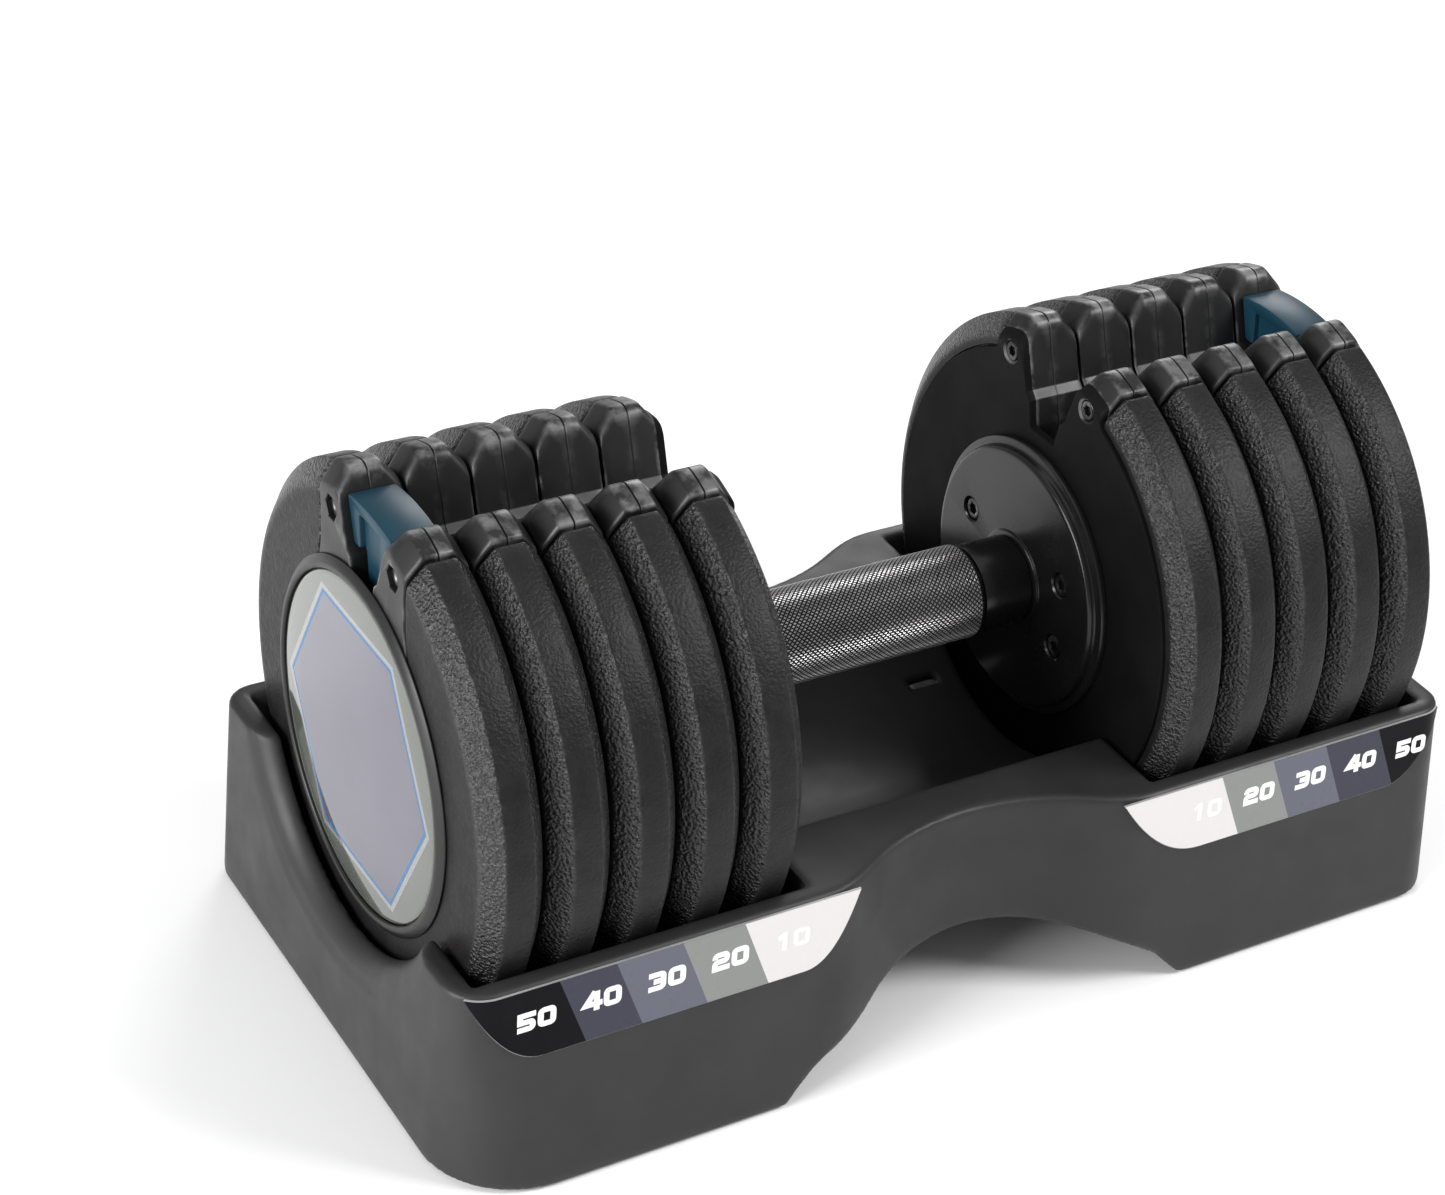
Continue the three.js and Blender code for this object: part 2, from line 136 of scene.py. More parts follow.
def place(obj, body, slot, *nodes):
    """Hands a piece over: its body and the CAD nodes it stands for. The slot is not used."""
    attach(obj, body)
    if nodes:
        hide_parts(*nodes)
    return obj


def circle(r, x, count=96, phase=0.0):
    a = np.linspace(0, 2 * math.pi, count, endpoint=False) + phase
    return np.stack([np.full(count, x), r * np.sin(a), r * np.cos(a)], 1)


def lathe(profile, count=160, closed=False):
    """Turned round the X axis from (radius, x) points. closed joins the last point to the first."""
    loops = [circle(r, x, count) for r, x in profile]
    if closed:
        return Shape().loft(loops + loops[:1], caps=False)
    return Shape().loft(loops)


def weld(obj, distance=1e-6):
    work = bmesh.new()
    work.from_mesh(obj.data)
    bmesh.ops.remove_doubles(work, verts=work.verts, dist=distance)
    bmesh.ops.recalc_face_normals(work, faces=work.faces)
    work.to_mesh(obj.data)
    work.free()
    return obj


def length(line):
    return np.linalg.norm(np.diff(line, axis=0), axis=1).sum()


def along(line, distances):
    steps = np.concatenate([[0], np.cumsum(np.linalg.norm(np.diff(line, axis=0), axis=1))])
    return np.stack([np.interp(distances, steps, line[:, k]) for k in range(line.shape[1])], 1)


def between_radii(line, r0, r1, count):
    """The stretch of a line that lies between two distances from the axis."""
    s = np.linspace(0, length(line), 600)
    r = np.linalg.norm(along(line, s), axis=1)
    start, end = np.interp([r0, r1], r, s)
    return along(line, np.linspace(start, end, count))


def arc(r, a0, a1, count):
    a = np.linspace(a0, a1, count)
    return np.stack([r * np.sin(a), r * np.cos(a)], 1)


def angle_of(point):
    return math.atan2(point[0], point[1])


CORNER_POINTS = 5


def soft_outline(sides, setbacks, counts):
    """Joins sides into a closed outline. Corner i, after side i, is rounded from its setback."""
    out = []
    most = 0.45     # of a side, so that the setbacks at its two ends never meet
    for i, (line, count) in enumerate(zip(sides, counts)):
        total = length(line)
        first, last = min(setbacks[i - 1], most * total), min(setbacks[i], most * total)
        body = along(line, np.linspace(first, total - last, count))
        following = sides[(i + 1) % len(sides)]
        start = along(following, [min(setbacks[i], most * length(following))])[0]
        t = np.linspace(0, 1, CORNER_POINTS + 2)[1:-1, None]
        out += [body, (1 - t) ** 2 * body[-1] + 2 * t * (1 - t) * line[-1] + t * t * start]
    return np.concatenate(out)


def shrunk(outline, amount):
    """The outline moved inwards by the amount, with the same number of points."""
    if not amount:
        return outline
    tangent = np.roll(outline, -1, 0) - np.roll(outline, 1, 0)
    tangent /= np.linalg.norm(tangent, axis=1)[:, None] + 1e-9
    y, z = outline.T
    area = (y * np.roll(z, -1) - np.roll(y, -1) * z).sum()
    normal = np.stack([tangent[:, 1], -tangent[:, 0]], 1) * (1 if area > 0 else -1)
    moved = outline - normal * amount
    for _ in range(40):
        # Where a run of points has turned back on itself, it is evened out with its neighbours.
        steps = [np.roll(line, -1, 0) - line for line in (outline, moved)]
        back = (steps[0] * steps[1]).sum(1) < 0
        if not back.any():
            break
        touched = back | np.roll(back, 1)
        moved[touched] = ((np.roll(moved, 1, 0) + np.roll(moved, -1, 0)) / 2)[touched]
    return moved


def at_x(outline, x):
    return np.column_stack([np.full(len(outline), x), outline])


def flipped(line):
    return (line * (-1, 1))[::-1]


def carve(obj, cutter):
    """Cuts one object out of another, and removes the cutter."""
    modifier = obj.modifiers.new("carve", "BOOLEAN")
    modifier.operation, modifier.solver, modifier.object = "DIFFERENCE", "MANIFOLD", cutter
    mesh = bpy.data.meshes.new_from_object(obj.evaluated_get(bpy.context.evaluated_depsgraph_get()))
    obj.modifiers.remove(modifier)
    obj.data = mesh
    bpy.data.objects.remove(cutter)
    mesh.set_sharp_from_angle(angle=math.radians(SHARP_ANGLE))
    return obj


# ---- Materials --------------------------------------------------------------------------------

class Paint:
    """A node material with mottled colour, uneven roughness, layered bump and worn edges."""

    def __init__(self, name, rough=0.5, metal=0.0, **sockets):
        self.material = bpy.data.materials.new(name)
        self.material.use_nodes = True
        self.tree = self.material.node_tree
        self.shader = self.tree.nodes["Principled BSDF"]
        self.shader.inputs["Metallic"].default_value = metal
        self.shader.inputs["Roughness"].default_value = rough
        for key, value in sockets.items():
            self.shader.inputs[key.replace("_", " ")].default_value = value
        self.point = self.node("ShaderNodeTexCoord").outputs["Object"]
        self.colour = None
        self.normal = None

    def node(self, kind, **values):
        node = self.tree.nodes.new(kind)
        for key, value in values.items():
            setattr(node, key, value)
        return node

    def link(self, source, target):
        self.tree.links.new(source, target)

    def noise(self, scale, detail=3.0):
        node = self.node("ShaderNodeTexNoise")
        node.inputs["Scale"].default_value = scale
        node.inputs["Detail"].default_value = detail
        node.inputs["Roughness"].default_value = 0.55
        self.link(self.point, node.inputs["Vector"])
        return node.outputs["Fac"]

    def cells(self, scale):
        node = self.node("ShaderNodeTexVoronoi", feature="SMOOTH_F1")
        node.inputs["Scale"].default_value = scale
        self.link(self.point, node.inputs["Vector"])
        return node.outputs["Distance"]

    def math(self, operation, a, b=0.0, c=0.0):
        node = self.node("ShaderNodeMath", operation=operation)
        for i, value in enumerate((a, b, c)):
            if isinstance(value, (int, float)):
                node.inputs[i].default_value = value
            else:
                self.link(value, node.inputs[i])
        return node.outputs[0]

    def spread(self, value, low, high, to_low=0.0, to_high=1.0):
        node = self.node("ShaderNodeMapRange")
        self.link(value, node.inputs["Value"])
        for key, number in (("From Min", low), ("From Max", high), ("To Min", to_low), ("To Max", to_high)):
            node.inputs[key].default_value = number
        return node.outputs["Result"]

    def attribute(self, name):
        return self.node("ShaderNodeAttribute", attribute_name=name).outputs["Fac"]

    def mix(self, factor, a, b):
        node = self.node("ShaderNodeMix", data_type="RGBA")
        self.link(factor, node.inputs["Factor"])
        for key, value in (("A", a), ("B", b)):
            socket = [s for s in node.inputs if s.name == key and s.type == "RGBA"][0]
            if isinstance(value, tuple):
                socket.default_value = (*value, 1.0)
            else:
                self.link(value, socket)
        return [s for s in node.outputs if s.type == "RGBA"][0]

    def mottle(self, a, b, scale):
        self.colour = self.mix(self.spread(self.noise(scale), 0.35, 0.65), a, b)
        return self

    def over(self, factor, colour):
        self.colour = self.mix(factor, self.colour, colour)
        return self

    def worn(self, colour, low=0.52, high=0.6, amount=1.0):
        """Paler along convex edges, unevenly."""
        point = self.node("ShaderNodeNewGeometry").outputs["Pointiness"]
        patchy = self.spread(self.noise(160.0, 4.0), 0.4, 0.62)
        return self.over(self.math("MULTIPLY", self.spread(point, low, high, 0.0, amount), patchy), colour)

    def rough(self, scale, low, high):
        self.link(self.spread(self.noise(scale), 0.3, 0.7, low, high), self.shader.inputs["Roughness"])
        return self

    def bump(self, height, strength, distance, by=None):
        node = self.node("ShaderNodeBump")
        node.inputs["Strength"].default_value = strength
        node.inputs["Distance"].default_value = distance
        if by is not None:
            self.link(self.math("MULTIPLY", by, strength), node.inputs["Strength"])
        self.link(height, node.inputs["Height"])
        if self.normal is not None:
            self.link(self.normal, node.inputs["Normal"])
        self.normal = node.outputs["Normal"]
        return self

    def done(self):
        if self.colour is not None:
            self.link(self.colour, self.shader.inputs["Base Color"])
        if self.normal is not None:
            self.link(self.normal, self.shader.inputs["Normal"])
        return self.material


def iron_paint():
    """Cast iron under paint. The band attribute says how rough the casting is: 1 on the chamfers."""
    p = Paint("cast_iron")
    band = p.attribute("band")
    p.link(p.spread(band, 0.0, 1.0, 0.10, 0.62), p.shader.inputs["Specular IOR Level"])
    p.mottle((0.0085, 0.0079, 0.0079), (0.0130, 0.0121, 0.0121), 90.0)
    p.worn((0.05, 0.048, 0.046), 0.51, 0.56, 0.7)
    gloss = p.math("ADD", p.noise(420.0), p.math("MULTIPLY", band, -0.25))
    p.link(p.spread(gloss, 0.1, 0.75, 0.27, 0.46), p.shader.inputs["Roughness"])
    p.bump(p.cells(950.0), 1.0, 0.0013, p.spread(band, 0.1, 1, 0.12, 1.0))
    p.bump(p.noise(2100.0, 2.0), 0.8, 0.0005, p.spread(band, 0.1, 1, 0.35, 1.0))
    return p.done()


def moulded(name, dark, light, low, high, grain, strength, wear=None, wave=0.12, **sockets):
    """Two mottled colours, a range of roughness, and a fine grain of a given strength."""
    p = Paint(name, **sockets)
    p.mottle(dark, light, 35.0)
    if wear:
        p.worn(wear, 0.515, 0.575)
    p.rough(55.0, low, high)
    p.bump(p.noise(grain, 2.0), strength, 0.00012)
    p.bump(p.noise(24.0, 2.0), wave, 0.0006)
    return p.done()


IRON = iron_paint()
# Painted shade: the cover's face is a darker, duller copy of the nylon, and its darker colour stands for
# shade.
COVER = moulded("nylon_cover_painted_shade", (0.005, 0.005, 0.0052), (0.0075, 0.0075, 0.0078), 0.40, 0.52, 2600.0, 0.08,
                Specular_IOR_Level=0.03)
NYLON = moulded("nylon", (0.0085, 0.0085, 0.0087), (0.0125, 0.0125, 0.0128), 0.32, 0.46, 2600.0, 0.10,
                wear=(0.22, 0.22, 0.22), Specular_IOR_Level=0.34)
TRAY = moulded("tray_plastic", (0.0185, 0.0180, 0.0181), (0.0235, 0.0230, 0.0231), 0.42, 0.54,
               2300.0, 0.16, Specular_IOR_Level=0.36)
BLUE = moulded("blue_plastic", (0.0045, 0.028, 0.046), (0.006, 0.033, 0.054), 0.36, 0.42, 2400.0, 0.08,
               wave=0.04, Specular_IOR_Level=0.26)
RUBBER = moulded("rubber", (0.012, 0.012, 0.012), (0.02, 0.02, 0.02), 0.75, 0.9, 1800.0, 0.3)
GLOSS = moulded("black_metal", (0.006, 0.006, 0.0062), (0.009, 0.0085, 0.009), 0.20, 0.30, 1500.0, 0.10,
                Specular_IOR_Level=0.4)
SCREW = moulded("screw_black", (0.012, 0.012, 0.012), (0.03, 0.03, 0.031), 0.22, 0.34, 1500.0, 0.15,
                wear=(0.35, 0.35, 0.36), metal=0.8)
# Painted shade: the nuts are a darker copy of the zinc steel, darkened for the shade in their pockets.
NUT = moulded("zinc_steel_painted_shade", (0.10, 0.10, 0.10), (0.15, 0.15, 0.15), 0.35, 0.5, 900.0, 0.2, metal=1.0)
RING_BLACK = moulded("ring_plastic", (0.0085, 0.0085, 0.0087), (0.0125, 0.0125, 0.0128), 0.30, 0.42,
                     2600.0, 0.10, wave=0.04, Specular_IOR_Level=0.34)
STEEL = moulded("zinc_steel", (0.42, 0.42, 0.43), (0.58, 0.58, 0.60), 0.22, 0.38, 900.0, 0.25, metal=1.0)


def knurl_paint():
    p = Paint("knurled_steel", metal=0.85)
    p.mottle((0.012, 0.012, 0.012), (0.022, 0.022, 0.022), 120.0)
    # Painted glint: the diamonds' tips are painted pale steel. This is a painted highlight along the peaks as
    # well as bare metal worn through the black.
    p.over(p.math("MULTIPLY", p.spread(p.attribute("band"), 0.45, 1.0), 0.9), (0.70, 0.69, 0.69))
    p.rough(300.0, 0.26, 0.40)
    p.bump(p.noise(2600.0, 2.0), 0.10, 0.0001)
    return p.done()


KNURL = knurl_paint()


# The cells' edges lean by this much for each unit of height, and are given at this height.
CELL_LEAN, CELL_Z = 0.34, 0.0645


def label_paint(name, edges, colours):
    """Cells of flat print whose edges lean, on a faintly glossy film."""
    p = Paint(name, Specular_IOR_Level=0.07)
    split = p.node("ShaderNodeSeparateXYZ")
    p.link(p.point, split.inputs[0])
    shift = p.math("ADD", split.outputs["X"], -CELL_LEAN * CELL_Z)
    u = p.math("MULTIPLY_ADD", split.outputs["Z"], CELL_LEAN, shift)
    colour = None
    for edge, (a, b) in zip(edges, zip(colours, colours[1:])):
        step = p.math("GREATER_THAN", u, edge * MM)
        colour = p.mix(step, a if colour is None else colour, b)
    p.colour = colour
    p.over(p.spread(p.noise(60.0), 0.3, 0.7, 0.0, 0.006), (0.25, 0.25, 0.26))
    p.rough(80.0, 0.24, 0.36)
    p.bump(p.noise(1800.0, 2.0), 0.05, 0.0001)
    return p.done()


# From the heaviest weight's cell to the lightest.
CELLS = [(0.004, 0.004, 0.005), (0.052, 0.053, 0.072), (0.125, 0.131, 0.163), (0.235, 0.245, 0.235),
         (0.66, 0.64, 0.638)]
LABEL_LEFT = label_paint("label_left_print", (-160.5, -140.2, -116.2, -93.3), CELLS)
LABEL_RIGHT = label_paint("label_right_print", (100.1, 122.9, 146.6, 171.0), CELLS[::-1])
SILVER = moulded("label_edge", (0.26, 0.26, 0.265), (0.32, 0.32, 0.325), 0.25, 0.35, 900.0, 0.05)
DIGIT = moulded("digit_white", (0.82, 0.82, 0.82), (0.88, 0.88, 0.88), 0.35, 0.45, 900.0, 0.03)
DIGIT_FAINT = moulded("digit_faint", (0.71, 0.70, 0.70), (0.74, 0.73, 0.73), 0.3, 0.4, 900.0, 0.03)


BADGE_CORNER = 52.8


def badge_paint():
    """Dark print under a clear dome: a thin blue hexagon with a pale line outside it."""
    p = Paint("badge_face", rough=0.05, Specular_IOR_Level=0.25, Coat_Weight=1.0,
              Coat_Roughness=0.02, Coat_IOR=1.42)
    split = p.node("ShaderNodeSeparateXYZ")
    p.link(p.point, split.inputs[0])
    y, z = split.outputs["Y"], p.math("SUBTRACT", split.outputs["Z"], AXIS_Z * MM)
    ay, az = p.math("ABSOLUTE", y), p.math("ABSOLUTE", z)
    slant = p.math("ADD", p.math("MULTIPLY", ay, math.sqrt(3) / 2), p.math("MULTIPLY", az, 0.5))
    reach = p.math("MAXIMUM", slant, az)
    span = BADGE_CORNER * math.sqrt(3) / 2 * MM

    def line(centre, half):
        return p.math("LESS_THAN", p.math("ABSOLUTE", p.math("SUBTRACT", reach, centre)), half)

    p.mottle((0.050, 0.047, 0.076), (0.060, 0.057, 0.088), 40.0)
    p.over(p.math("GREATER_THAN", reach, span), (0.062, 0.068, 0.057))
    p.over(line(span + 0.0017, 0.0009), (0.17, 0.17, 0.175))
    blue = line(span, 0.0006)
    p.over(blue, (0.015, 0.10, 0.23))
    p.link(p.math("MULTIPLY_ADD", blue, -0.85, 1.0), p.shader.inputs["Coat Weight"])
    p.rough(90.0, 0.04, 0.08)
    p.bump(p.noise(30.0, 2.0), 0.02, 0.0005)
    return p.done()


BADGE = badge_paint()


# ---- Plates -----------------------------------------------------------------------------------

CREST = 95.7
# Rows from the middle of a plate out to its face: x, rim radius, inset of the whole outline and,
# for the iron, how rough the casting is there. The plate's other half mirrors them.
IRON_EDGE = [(0, CREST, 0, .15), (4.3, CREST, 0, .15), (4.85, 95.6, 0, .25), (5.35, 95.25, 0, .7),
             (5.8, 94.75, 0, 1), (8.0, 92.0, 0, 1), (10.0, 89.5, 0, 1), (10.5, 88.8, .12, .9),
             (10.82, 88.1, .38, .7), (11, 87.3, .85, .1), (11, 86.5, 1.6, 0)]
EAR_EDGE = [(.12, 95.75, .25), (.4, 96.1, 0), (4.6, 96.1, 0), (5.3, 95.85, 0), (5.9, 95.2, 0), (8, 92.5, 0),
            (10.2, 89.7, 0), (10.7, 88.95, .12), (11, 88.2, .35), (11, 87.5, 1.0)]
COVER_EDGE = [(-12.3, 87.9, .35), (-12.08, 88.5, .12), (-11.7, 89.1, 0), (-9.4, 91.5, 0)]
# The innermost plate's iron has a recess for the cover, from RECESS_X to the face.
RECESS_X, RECESS_RIM = -9.0, 90.75
IRON_BORE, RECESS_BORE = HUB_R + 0.7, COVER_R + 0.5
# The corner of the window that the lock bar passes, in the cover.
WINDOW_Y, WINDOW_Z = 7.75, 7.85


def both_ways(rows):
    return [(-row[0], *row[1:]) for row in rows[::-1]] + [row for row in rows if row[0] > 0]


def iron_outline(rim, bore):
    wall = between_radii(EAR_LINE + (0.85, 0), bore, rim, 14)
    a0, a1 = angle_of(wall[0]), angle_of(wall[-1])
    sides = [wall, arc(rim, a1, 2 * math.pi - a1, 220), flipped(wall), arc(bore, 2 * math.pi - a0, a0, 120)]
    return soft_outline(sides, (2.4, 2.4, 1.6, 1.6), (10, 190, 10, 90))


def iron_shape(x, recessed):
    shape, loops, bands = Shape(), [], []
    for dx, rim, inset, band in both_ways(IRON_EDGE):
        bore = IRON_BORE
        if recessed and dx < RECESS_X:
            bore, inset = RECESS_BORE, inset * 0.3
        loops.append(at_x(shrunk(iron_outline(rim, bore), inset), x + dx))
        bands.append(band)
    if recessed:
        step = [i for i, loop in enumerate(loops) if loop[0, 0] - x < RECESS_X][-1]
        loops.insert(step + 1, at_x(iron_outline(RECESS_RIM, RECESS_BORE), x + RECESS_X - 0.05))
        loops.insert(step + 2, at_x(iron_outline(RECESS_RIM, IRON_BORE), x + RECESS_X))
        bands[step + 1:step + 1] = [1, 1]
    return shape.loft(loops), np.repeat(bands, len(loops[0]))


def insert_outline(rim, bore=HUB_R):
    """The moulding with its two ears and the notch between them.

    Unless it is the cover's, a slot goes on down from the notch to a window round the axis.
    """
    ear = between_radii(EAR_LINE, bore, rim, 24)
    wall = between_radii(NOTCH_LINE, 70.63, rim, 14)[::-1]
    right = [
        ear, arc(rim, angle_of(ear[-1]), angle_of(wall[0]), 16), wall,
        np.array([(12, 69.6), (9.3, 67.0)], float), np.array([(9.3, 67.0), (7.2, 57.5)], float)]
    setbacks = [1.6, 5.0, .4, .4, .3]
    counts = [16, 8, 10, 3, 4]
    if bore < COVER_R:
        right += [np.array([(7.2, 57.5), (6.2, 7.9)], float), np.array([(6.2, 7.9), (7.8, 7.9)], float),
                  np.array([(7.8, 7.9), (7.8, -7.9)], float)]
        setbacks += [.6, .3, .3]
        counts += [4, 2, 3]
    foot = right[-1][-1]
    a0 = angle_of(ear[0])
    sides = right + [np.array([foot, foot * (-1, 1)])] + [flipped(s) for s in right[::-1]]
    sides.append(arc(bore, 2 * math.pi - a0, a0, 200))
    # The corners of the left half are those of the right half in reverse.
    return soft_outline(sides, setbacks + [setbacks[-1]] + setbacks[-2::-1] + [2.2, 2.2],
                        counts + [3] + counts[::-1] + [110])


def insert_shape(x, covered):
    shape = Shape()
    rows = both_ways(EAR_EDGE)
    if covered:
        cover = [at_x(shrunk(insert_outline(r, COVER_R), e), x + dx) for dx, r, e in COVER_EDGE]
        shape.loft(cover, slot=1)
        rows = [(-9.6, 91.1, 0)] + [row for row in rows if row[0] > RECESS_X]
    return shape.loft([at_x(shrunk(insert_outline(r), e), x + dx) for dx, r, e in rows])


def bore_cutter(places, x, towards, r, depth, chamfer=0.7, count=48):
    """Round or hexagonal pockets from the face at x; towards is +1 if they go to higher x."""
    shape = Shape()
    for y, z in places:
        phase = math.pi / 6 if count == 6 else 0
        rings = [(r + chamfer + .5, -.5), (r, chamfer), (r, depth)]
        shape.loft([circle(q, x + towards * dx, count, phase) + (0, y, z) for q, dx in rings])
    return shape


def set_band(obj, values):
    """One number for each point, which the materials read as the band attribute."""
    attribute = obj.data.attributes.new("band", "FLOAT", "POINT")
    attribute.data.foreach_set("value", np.asarray(values, np.float32))


for side, turned in SIDES.items():
    for k in range(1, PLATES + 1):
        x, first = FIRST_X + PITCH * (k - 1), k == 1
        body = "handle" if first else f"plate_{k}_{side}"
        shape, bands = iron_shape(x, first)
        iron = shape.build(f"iron_{k}_{side}", IRON, turned=turned)
        set_band(iron, bands)
        place(iron, body, "iron", f"plate_{k}_iron_{side}")

        # The cover's face takes the copy of the nylon with painted shade.
        materials = [NYLON, COVER] if first else [NYLON]
        insert = insert_shape(x, first).build(f"insert_{k}_{side}", materials, turned=turned)
        if first:
            cutter = bore_cutter(EAR_SCREWS, COVER_FACE, 1, r=4, depth=COVER_POCKET)
            window = np.array([(WINDOW_Y, WINDOW_Z), (-WINDOW_Y, WINDOW_Z), (-WINDOW_Y, -WINDOW_Z),
                               (WINDOW_Y, -WINDOW_Z)])
            cutter.loft([at_x(window, COVER_FACE + dx) for dx in (-1, COVER_POCKET)])
            carve(insert, cutter.build("cutter", [], turned=turned))
        if k == PLATES:
            cutter = bore_cutter(EAR_NUTS, OUTER_FACE, -1, r=NUT_POCKET_R, depth=4.5, chamfer=0.3, count=6)
            carve(insert, cutter.build("cutter", [], turned=turned))
        place(insert, body, "nylon", f"plate_{k}_insert_{side}")


# ---- Badge and its ring -----------------------------------------------------------------------

# Both profiles are (radius, x) from the outermost plate's badge seat.
BADGE_SEAT = OUTER_FACE + 0.35
RING = [(60.3, .1), (60.3, 1.5), (60.55, 1.95), (61.0, 2.2), (62.1, 2.2), (62.7, 2.0), (64.3, .9),
        (64.9, .45), (65.0, .1)]
DOME = [(59.9, .1), (59.9, .75), (59.75, 1.1), (59.3, 1.32), (58.2, 1.45), (45, 1.65), (25, 1.82), (6, 1.88)]
for side, turned in SIDES.items():
    ring = lathe([(r, BADGE_SEAT + x) for r, x in RING], 200, closed=True)
    ring = weld(ring.build(f"ring_{side}", RING_BLACK, turned=turned))
    place(ring, f"plate_{PLATES}_{side}", "nylon", f"badge_ring_{side}")
    dome = lathe([(r, BADGE_SEAT + x) for r, x in DOME], 200)
    dome = dome.build(f"dome_{side}", BADGE, 60, turned=turned)
    place(dome, f"plate_{PLATES}_{side}", "badge_face", f"badge_{side}")


# ---- Fasteners --------------------------------------------------------------------------------

SCREW_POINTS = 48


def disc(r, x):
    return circle(r, x, SCREW_POINTS)


def hexagon(across, x):
    """A hexagon with as many points as a disc, so that the two can be skinned."""
    a = np.linspace(0, 2 * math.pi, SCREW_POINTS, endpoint=False)
    wedge = (a + math.pi / 6) % (math.pi / 3) - math.pi / 6
    r = across / 2 / np.cos(wedge)
    return np.stack([np.full(SCREW_POINTS, x), r * np.sin(a), r * np.cos(a)], 1)


def screw_shape(y, z, x, r, shank, reach):
    """A socket screw with its head at x. The shank reaches on from there."""
    head = 2.2
    rings = [disc(shank, x + reach), disc(shank, x + head), disc(r, x + head)]
    rings += [disc(r, x + .5), disc(r - .12, x + .2), disc(r - .45, x), disc(r * .72, x)]
    rings += [hexagon(r * 1.04, x + .12), hexagon(r, x + .35), hexagon(r, x + 1.6), hexagon(r * .5, x + 1.75)]
    return Shape().loft([ring + (0, y, z) for ring in rings])


def nut_shape(y, z, x):
    t, across, bore = 2.9, 7.1, 1.7
    rings = [disc(bore, x - t), disc(3.3, x - t), hexagon(across, x - t + .45), hexagon(across, x - .5),
             disc(3.45, x), disc(2.3, x), disc(bore, x - .5), disc(bore, x - t)]
    return Shape().loft([ring + (0, y, z) for ring in rings], caps=False)


def depth_of(y, side):
    """Front or back, once the left end's pieces are turned half round."""
    return "back" if (y > 0) == (side == "right") else "front"


for side, turned in SIDES.items():
    for y, z in FLANGE_SCREWS:
        label = f"{depth_of(y, side)}_{'top' if z > 0 else 'bottom'}_{side}"
        screw = screw_shape(y, z, FLANGE_FACE + .7, r=4, shank=2.2, reach=15)
        screw = screw.build(f"screw_{label}", SCREW, turned=turned)
        place(screw, "handle", "black_metal", f"flange_screw_{label}")
    for y, z in EAR_SCREWS:
        label = f"{depth_of(y, side)}_{side}"
        screw = screw_shape(y, z, COVER_FACE + .6, r=3.6, shank=1.9, reach=19)
        screw = screw.build(f"ear_bolt_{label}", SCREW, turned=turned)
        place(screw, "handle", "black_metal", f"ear_screw_{label}")
    for y, z in EAR_NUTS:
        label = f"{depth_of(y, side)}_{side}"
        nut = nut_shape(y, z, OUTER_FACE - 1.8).build(f"hex_nut_{label}", NUT, turned=turned)
        place(weld(nut), f"plate_{PLATES}_{side}", "steel", f"ear_nut_{label}")


# ---- Handle -----------------------------------------------------------------------------------

# Profiles are (radius, x).
FLANGE = [(GRIP_BORE, 71.85), (52.2, 71.85), (52.2, 70.1), (51.9, 69.6), (51.3, 69.35), (49.9, 69.3),
          (49.3, 69.0), (49.0, 68.4), (49.0, 67.6), (48.75, 66.9), (48.2, 66.35), (47.3, 66.05),
          (46.6, FLANGE_FACE), (18.9, FLANGE_FACE), (18.35, 65.9), (18.1, 65.6), (18.1, 65.2), (17.9, 64.95),
          (17.5, 64.8), (GRIP_BORE, 64.8)]
COLLAR = [(GRIP_BORE, 44.85), (15.7, 44.85), (16.15, 45.1), (16.3, 45.6), (16.3, 63.7), (16.1, 64.2),
          (15.6, 64.45), (GRIP_BORE, 64.45)]
for side, turned in SIDES.items():
    flange = weld(lathe(FLANGE, 180, closed=True).build(f"flange_disc_{side}", GLOSS, turned=turned))
    cutter = bore_cutter(FLANGE_SCREWS, FLANGE_FACE, 1, r=4.5, depth=3.2, chamfer=0.6)
    carve(flange, cutter.build("cutter", [], turned=turned))
    place(flange, "handle", "black_metal", f"flange_{side}")
    collar = lathe(COLLAR, 120, closed=True).build(f"smooth_collar_{side}", GLOSS, turned=turned)
    place(weld(collar), "handle", "black_metal", f"collar_{side}")


def grip():
    """A diamond knurl: flat-topped pyramids between two crossed sets of helical grooves."""
    half, core, tip, edge, around, pitch = 44.4, 16.84, 17.24, 1.3, 56, 1.92
    cols, rows = 4 * around, 4 * round(2 * (half - edge) / pitch)
    i, j = np.meshgrid(np.arange(rows + 1), np.arange(cols), indexing="ij")
    groove = [np.abs((k % 4) / 2 - 1) for k in (i + j, i - j)]
    lift = np.clip(np.minimum(*groove) * 2, 0, 1)
    lift[0] = lift[-1] = 0
    r, x = core + (tip - core) * lift, -(half - edge) + i * 2 * (half - edge) / rows
    angle = j * 2 * math.pi / cols
    verts = np.stack([x, r * np.sin(angle), r * np.cos(angle)], -1).reshape(-1, 3)
    faces = []
    for i in range(rows):
        for j in range(cols):
            a, b = i * cols + j, i * cols + (j + 1) % cols
            c, d = b + cols, a + cols
            faces += [(a, b, c), (a, c, d)] if (i + j) % 2 == 0 else [(a, b, d), (b, c, d)]
    shape = Shape().add(verts, faces, flat=True)
    # A point's lift also sets how much painted glint the knurl's paint puts on it.
    bands = lift.ravel().tolist()
    for s in (-1, 1):
        ring = [(core, (half - edge) * s), (core, (half - .9) * s), (core - .3, (half - .3) * s),
                (core - .9, half * s), (GRIP_BORE, half * s), (GRIP_BORE, 0)]
        shape.loft([circle(q, x, cols) for q, x in ring], caps=False)
        bands += [0.3] * (len(ring) * cols)
    return shape, bands


shape, bands = grip()
grip_obj = shape.build("knurled_grip", KNURL, 20)
set_band(grip_obj, bands)
place(weld(grip_obj, 2e-6), "handle", "knurled_steel", "grip_sleeve")


# ---- Selectors --------------------------------------------------------------------------------

